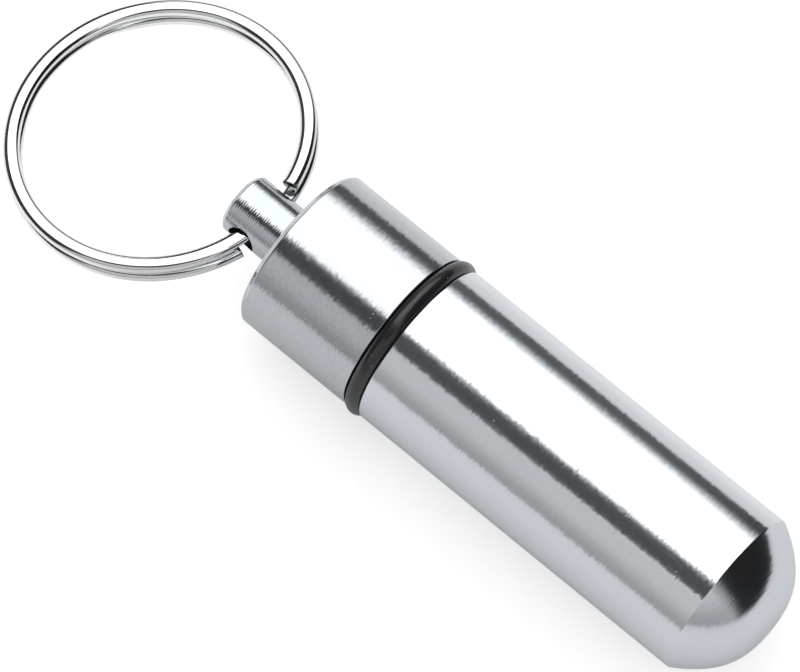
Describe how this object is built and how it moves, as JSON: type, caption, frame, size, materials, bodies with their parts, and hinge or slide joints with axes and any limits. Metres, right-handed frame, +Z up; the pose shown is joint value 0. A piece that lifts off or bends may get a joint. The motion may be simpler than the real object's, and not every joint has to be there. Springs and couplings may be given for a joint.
{
  "type": "pill fob keychain",
  "caption": "Waterproof pill fob: turned capsule with a domed closed end, screw cap with a drilled key stud, seal ring and split key ring.",
  "frame": {"origin": "centre of the capsule body's shoulder, the face that the seal rests against, on the capsule's axis", "axes": "+X along the capsule's axis towards its domed end, +Y along the cross hole in the key stud, +Z up with the capsule lying on its side and the split ring drooping behind it"},
  "size_m": [0.0895, 0.0298, 0.0176],
  "materials": {
    "body_metal": "polished, with a fine lengthwise grain",
    "seal_rubber": "satin black nitrile",
    "cap_metal": "polished barrel, turned stud with fine rings",
    "ring_steel": "bright nickel plate"
  },
  "bodies": {
    "cap": {"cap": "cap_metal"},
    "seal": {"o_ring": "seal_rubber"},
    "capsule": {"capsule_body": "body_metal"},
    "ring": {"split_ring": "ring_steel"}
  },
  "joints": [
    {"name": "unscrew_travel", "type": "slide", "parent": "cap", "child": "seal", "axis": [1, 0, 0], "range_m": [0, 0.006]},
    {"name": "unscrew_turn", "type": "hinge", "parent": "seal", "child": "capsule", "pos_m": [0, 0, 0], "axis": [1, 0, 0], "range_deg": [0, 2160]},
    {"name": "ring_swing", "type": "hinge", "parent": "cap", "child": "ring", "pos_m": [-0.01924, 0, 0], "axis": [0, 1, 0], "range_deg": [-147, 171]}
  ],
  "couplings": [
    {"joint": "unscrew_travel", "follows": "unscrew_turn", "m_per_rad": 0.00015915}
  ]
}
